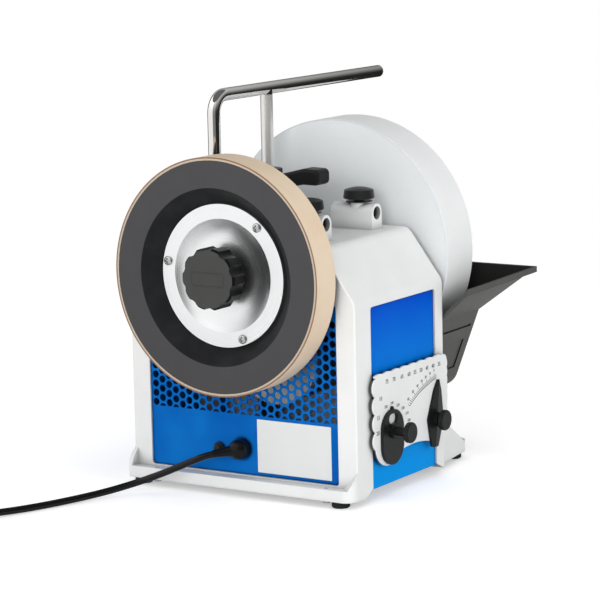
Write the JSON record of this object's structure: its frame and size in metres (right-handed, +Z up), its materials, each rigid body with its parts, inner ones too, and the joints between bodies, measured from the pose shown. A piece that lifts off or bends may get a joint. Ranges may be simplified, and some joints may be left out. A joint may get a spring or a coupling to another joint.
{
  "type": "wet sharpening machine",
  "caption": "Bench wet sharpening machine with a water-cooled grinding stone, a leather honing wheel, a sliding tool support, a water trough, an angle gauge and a mains cord.",
  "frame": {"origin": "middle of the machine's footprint on the table, without the mains cord", "axes": "+X from the honing wheel to the stone along the main shaft, +Z up, -Y the side with the angle gauge"},
  "size_m": [0.6805, 0.4494, 0.372],
  "materials": {
    "white_casting": "smooth off-white enamel",
    "blue_panel": "satin blue paint",
    "plain_plate": "bare label plate",
    "zinc": "zinc plated",
    "steel": "turned steel",
    "chrome": "polished chrome",
    "bronze": "plain bearing bronze",
    "black_plastic": "fine grained black",
    "grey_plastic": "dark grey moulding",
    "white_plastic": "plain white moulding",
    "red_plastic": "glossy red",
    "leather": "tan leather",
    "stone": "fine pale grey abrasive",
    "rubber": "black rubber",
    "motor_metal": "cast aluminium",
    "motor_steel": "grey motor steel",
    "cord_black": "black cord sheath"
  },
  "bodies": {
    "base": {"housing": "white_casting", "end_panel": "blue_panel", "front_panel": "blue_panel", "rear_panel": "blue_panel", "rating_plate": "plain_plate", "bottom_plate": "zinc", "feet": "rubber", "base_screws": "steel", "honing_bush": "bronze", "stone_bush": "bronze", "handle": "black_plastic", "handle_screws": "steel", "motor_cradle": "motor_steel", "pivot_rod": "steel", "capacitor": "motor_metal", "capacitor_clip": "zinc", "terminal_block": "grey_plastic", "switch_body": "black_plastic", "reset_body": "black_plastic", "trough_magnets": "steel", "cord_gland": "black_plastic", "cord": "cord_black", "cord_coil": "cord_black", "cord_tie": "cord_black", "plug": "cord_black"},
    "spindle": {"main_shaft": "steel", "honing_wheel_body": "grey_plastic", "leather_band": "leather", "honing_flange": "zinc", "flange_screws": "steel", "drive_wheel": "grey_plastic", "drive_lining": "rubber", "drive_pin": "steel", "stone": "stone", "inner_washer": "steel", "outer_washer": "steel"},
    "honing_knob": {"honing_knob": "black_plastic"},
    "stone_nut": {"stone_nut": "black_plastic"},
    "motor": {"motor_front_shield": "motor_metal", "motor_rear_shield": "motor_metal", "motor_case": "motor_steel", "stator": "motor_steel"},
    "rotor": {"rotor_shaft": "steel", "rotor_core": "motor_steel", "cooling_fan": "black_plastic"},
    "support": {"support_frame": "chrome"},
    "micro_nut": {"micro_nut": "black_plastic"},
    "front_clamp_left": {"front_clamp_left": "black_plastic"},
    "front_clamp_right": {"front_clamp_right": "black_plastic"},
    "rear_clamp_left": {"rear_clamp_left": "black_plastic"},
    "rear_clamp_right": {"rear_clamp_right": "black_plastic"},
    "trough": {"trough": "black_plastic"},
    "gauge": {"gauge_plate": "white_plastic", "gauge_magnets": "steel"},
    "gauge_dial": {"gauge_dial": "black_plastic"},
    "gauge_pointer": {"gauge_pointer": "black_plastic"},
    "dial_knob": {"dial_knob": "black_plastic"},
    "pointer_knob": {"pointer_knob": "black_plastic"},
    "switch_rocker": {"switch_rocker": "red_plastic"},
    "reset_button": {"reset_button": "black_plastic"}
  },
  "joints": [
    {"name": "spindle_spin", "type": "hinge", "parent": "base", "child": "spindle", "pos_m": [-0.06575, 0.015, 0.2095], "axis": [1, 0, 0], "continuous": true},
    {"name": "honing_knob_turn", "type": "hinge", "parent": "spindle", "child": "honing_knob", "pos_m": [-0.18575, 0.015, 0.2095], "axis": [1, 0, 0], "range_deg": [-180, 180]},
    {"name": "stone_nut_turn", "type": "hinge", "parent": "spindle", "child": "stone_nut", "pos_m": [0.08125, 0.015, 0.2095], "axis": [1, 0, 0], "range_deg": [-180, 180]},
    {"name": "motor_swing", "type": "hinge", "parent": "base", "child": "motor", "pos_m": [-0.08175, 0.06048, 0.10884], "axis": [1, 0, 0], "range_deg": [-3, 0]},
    {"name": "rotor_spin", "type": "hinge", "parent": "motor", "child": "rotor", "pos_m": [-0.08175, -0.01, 0.1314], "axis": [1, 0, 0], "continuous": true},
    {"name": "support_slide", "type": "slide", "parent": "base", "child": "support", "axis": [0, 0, 1], "range_m": [-0.035, 0.055]},
    {"name": "micro_nut_turn", "type": "hinge", "parent": "base", "child": "micro_nut", "pos_m": [-0.01375, 0.067, 0.2775], "axis": [0, 0, 1], "continuous": true},
    {"name": "front_clamp_left_turn", "type": "hinge", "parent": "base", "child": "front_clamp_left", "pos_m": [-0.10375, -0.035, 0.2675], "axis": [0, 0, 1], "range_deg": [-180, 180]},
    {"name": "front_clamp_right_turn", "type": "hinge", "parent": "base", "child": "front_clamp_right", "pos_m": [-0.01375, -0.035, 0.2675], "axis": [0, 0, 1], "range_deg": [-180, 180]},
    {"name": "rear_clamp_left_turn", "type": "hinge", "parent": "base", "child": "rear_clamp_left", "pos_m": [-0.10375, 0.087, 0.2515], "axis": [0, 1, 0], "range_deg": [-180, 180]},
    {"name": "rear_clamp_right_turn", "type": "hinge", "parent": "base", "child": "rear_clamp_right", "pos_m": [-0.01375, 0.087, 0.2515], "axis": [0, 1, 0], "range_deg": [-180, 180]},
    {"name": "trough_drop", "type": "slide", "parent": "base", "child": "trough", "axis": [0, 0, -1], "range_m": [0, 0.04]},
    {"name": "gauge_pull", "type": "slide", "parent": "base", "child": "gauge", "axis": [0, -1, 0], "range_m": [0, 0.06]},
    {"name": "gauge_dial_turn", "type": "hinge", "parent": "gauge", "child": "gauge_dial", "pos_m": [-0.09545, -0.113, 0.0635], "axis": [0, 1, 0], "range_deg": [-60, 60]},
    {"name": "gauge_pointer_turn", "type": "hinge", "parent": "gauge", "child": "gauge_pointer", "pos_m": [-0.01475, -0.113, 0.059], "axis": [0, 1, 0], "range_deg": [-85, 8]},
    {"name": "dial_knob_turn", "type": "hinge", "parent": "gauge", "child": "dial_knob", "pos_m": [-0.09545, -0.113, 0.0635], "axis": [0, 1, 0], "range_deg": [-180, 180]},
    {"name": "pointer_knob_turn", "type": "hinge", "parent": "gauge", "child": "pointer_knob", "pos_m": [-0.01475, -0.113, 0.059], "axis": [0, 1, 0], "range_deg": [-180, 180]},
    {"name": "switch_rock", "type": "hinge", "parent": "base", "child": "switch_rocker", "pos_m": [-0.05875, 0.136, 0.1345], "axis": [1, 0, 0], "range_deg": [-8, 8]},
    {"name": "reset_press", "type": "slide", "parent": "base", "child": "reset_button", "axis": [1, 0, 0], "range_m": [0, 0.0025], "stiffness_N_per_m": 400}
  ],
  "couplings": [
    {"joint": "rotor_spin", "follows": "spindle_spin", "ratio": 15.439},
    {"joint": "micro_nut_turn", "follows": "support_slide", "rad_per_m": -4188.8}
  ]
}
